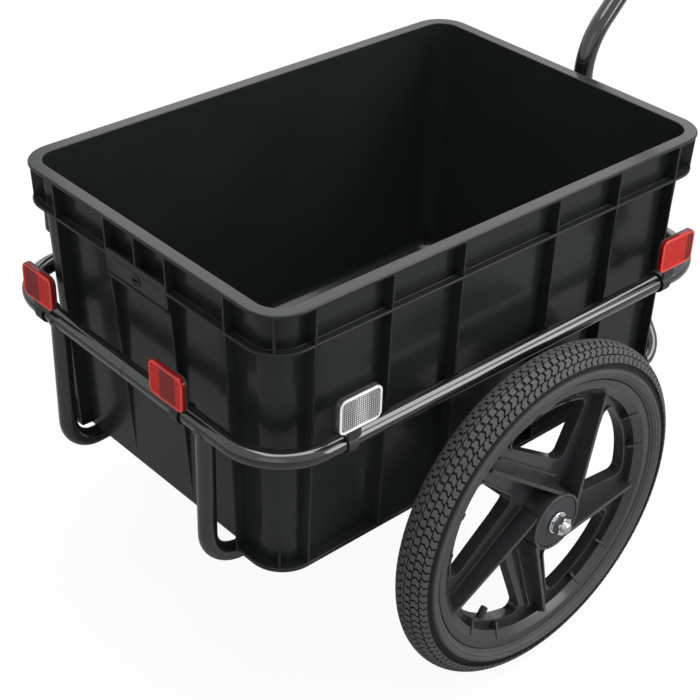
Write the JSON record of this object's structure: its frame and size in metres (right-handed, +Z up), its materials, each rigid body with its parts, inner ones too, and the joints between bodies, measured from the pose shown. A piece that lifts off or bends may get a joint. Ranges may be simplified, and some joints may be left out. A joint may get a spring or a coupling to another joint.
{
  "type": "cargo bike trailer",
  "caption": "Cargo bike trailer: ribbed plastic crate in a bent-tube frame on moulded spoke wheels, with a drawbar, seat post hitch and folding parking leg.",
  "frame": {"origin": "on the ground under the middle of the whole trailer's bounding box", "axes": "+X forward along the direction of travel, towards the hitch; +Y to the trailer's left; +Z up"},
  "size_m": [1.4454, 0.6, 0.7926],
  "materials": {
    "frame_black": "gloss black stove paint on steel tube",
    "steel": "plain zinc-grey steel",
    "chrome": "bright plated steel",
    "wheel_moulding": "satin black moulded plastic",
    "tyre": "dull black rubber",
    "inner_rubber": "dull black butyl rubber",
    "valve_cap_black": "matt black",
    "hub_cover_grey": "dark grey moulded plastic",
    "crate_black": "semi-gloss black moulded plastic",
    "clear_lens": "clear lens over a silver prism grid",
    "red_lens": "red lens over a prism grid",
    "clamp_plastic": "matt black moulded plastic",
    "knob_plastic": "matt black moulded plastic",
    "foot_rubber": "dull black rubber"
  },
  "bodies": {
    "frame": {"rail_left": "frame_black", "rail_right": "frame_black", "rear_rail_sleeve": "steel", "front_rail_sleeve": "steel", "long_tube_left": "frame_black", "long_tube_right": "frame_black", "axle_tube": "frame_black", "axle_rod": "steel", "axle_washer_right": "chrome", "axle_nut_right": "chrome", "axle_spacer_right": "steel", "axle_washer_left": "chrome", "axle_nut_left": "chrome", "axle_spacer_left": "steel", "clear_reflector_right": "clear_lens", "clear_reflector_right_clamp": "clamp_plastic", "clear_reflector_left": "clear_lens", "clear_reflector_left_clamp": "clamp_plastic", "front_reflector_right": "red_lens", "front_reflector_right_clamp": "clamp_plastic", "front_reflector_left": "red_lens", "front_reflector_left_clamp": "clamp_plastic", "rear_reflector_right": "red_lens", "rear_reflector_right_clamp": "clamp_plastic", "rear_reflector_left": "red_lens", "rear_reflector_left_clamp": "clamp_plastic", "drawbar_socket": "frame_black", "stop_pin": "steel", "leg_bracket": "frame_black", "leg_bolt": "steel"},
    "right_wheel": {"wheel_right": "wheel_moulding", "tyre_right": "tyre", "inner_tube_right": "inner_rubber", "valve_cap_right": "valve_cap_black", "outer_bearing_right": "steel", "inner_bearing_right": "steel", "hub_cover_right": "hub_cover_grey"},
    "left_wheel": {"wheel_left": "wheel_moulding", "tyre_left": "tyre", "inner_tube_left": "inner_rubber", "valve_cap_left": "valve_cap_black", "outer_bearing_left": "steel", "inner_bearing_left": "steel", "hub_cover_left": "hub_cover_grey"},
    "crate": {"crate": "crate_black"},
    "drawbar": {"drawbar": "frame_black"},
    "clamp_knob": {"clamp_knob": "knob_plastic"},
    "hitch_fork": {"hitch_fork": "frame_black", "pitch_pin": "steel"},
    "knuckle": {"knuckle": "frame_black"},
    "seat_clamp": {"seat_clamp_base": "frame_black", "seat_clamp_cap": "frame_black", "clamp_bolt_left": "steel", "clamp_bolt_right": "steel"},
    "quick_pin": {"quick_pin": "chrome"},
    "parking_leg": {"parking_leg": "frame_black", "leg_foot": "foot_rubber"}
  },
  "joints": [
    {"name": "right_wheel_spin", "type": "hinge", "parent": "frame", "child": "right_wheel", "pos_m": [-0.37786, -0.256, 0.19406], "axis": [0, 1, 0], "continuous": true},
    {"name": "left_wheel_spin", "type": "hinge", "parent": "frame", "child": "left_wheel", "pos_m": [-0.37786, 0.256, 0.19406], "axis": [0, 1, 0], "continuous": true},
    {"name": "crate_lift", "type": "slide", "parent": "frame", "child": "crate", "axis": [0, 0, 1], "range_m": [0, 0.32]},
    {"name": "drawbar_lift", "type": "slide", "parent": "frame", "child": "drawbar", "axis": [0, 0, 1], "range_m": [0, 0.07]},
    {"name": "clamp_knob_turn", "type": "hinge", "parent": "frame", "child": "clamp_knob", "pos_m": [-0.06633, 0, 0.39767], "axis": [1, 0, 0], "range_deg": [0, 720]},
    {"name": "hitch_roll", "type": "hinge", "parent": "drawbar", "child": "hitch_fork", "pos_m": [0.59214, 0, 0.755], "axis": [1, 0, 0], "range_deg": [-30, 30]},
    {"name": "hitch_pitch", "type": "hinge", "parent": "hitch_fork", "child": "knuckle", "pos_m": [0.62844, 0, 0.755], "axis": [0, 1, 0], "range_deg": [-35, 35]},
    {"name": "hitch_yaw", "type": "hinge", "parent": "knuckle", "child": "seat_clamp", "pos_m": [0.66444, 0, 0.755], "axis": [0, 0, 1], "range_deg": [-75, 75]},
    {"name": "quick_pin_lift", "type": "slide", "parent": "seat_clamp", "child": "quick_pin", "axis": [0, 0, 1], "range_m": [0, 0.06]},
    {"name": "parking_leg_fold", "type": "hinge", "parent": "frame", "child": "parking_leg", "pos_m": [-0.15286, 0.15967, 0.17702], "axis": [0, 1, 0], "range_deg": [0, 98]}
  ]
}
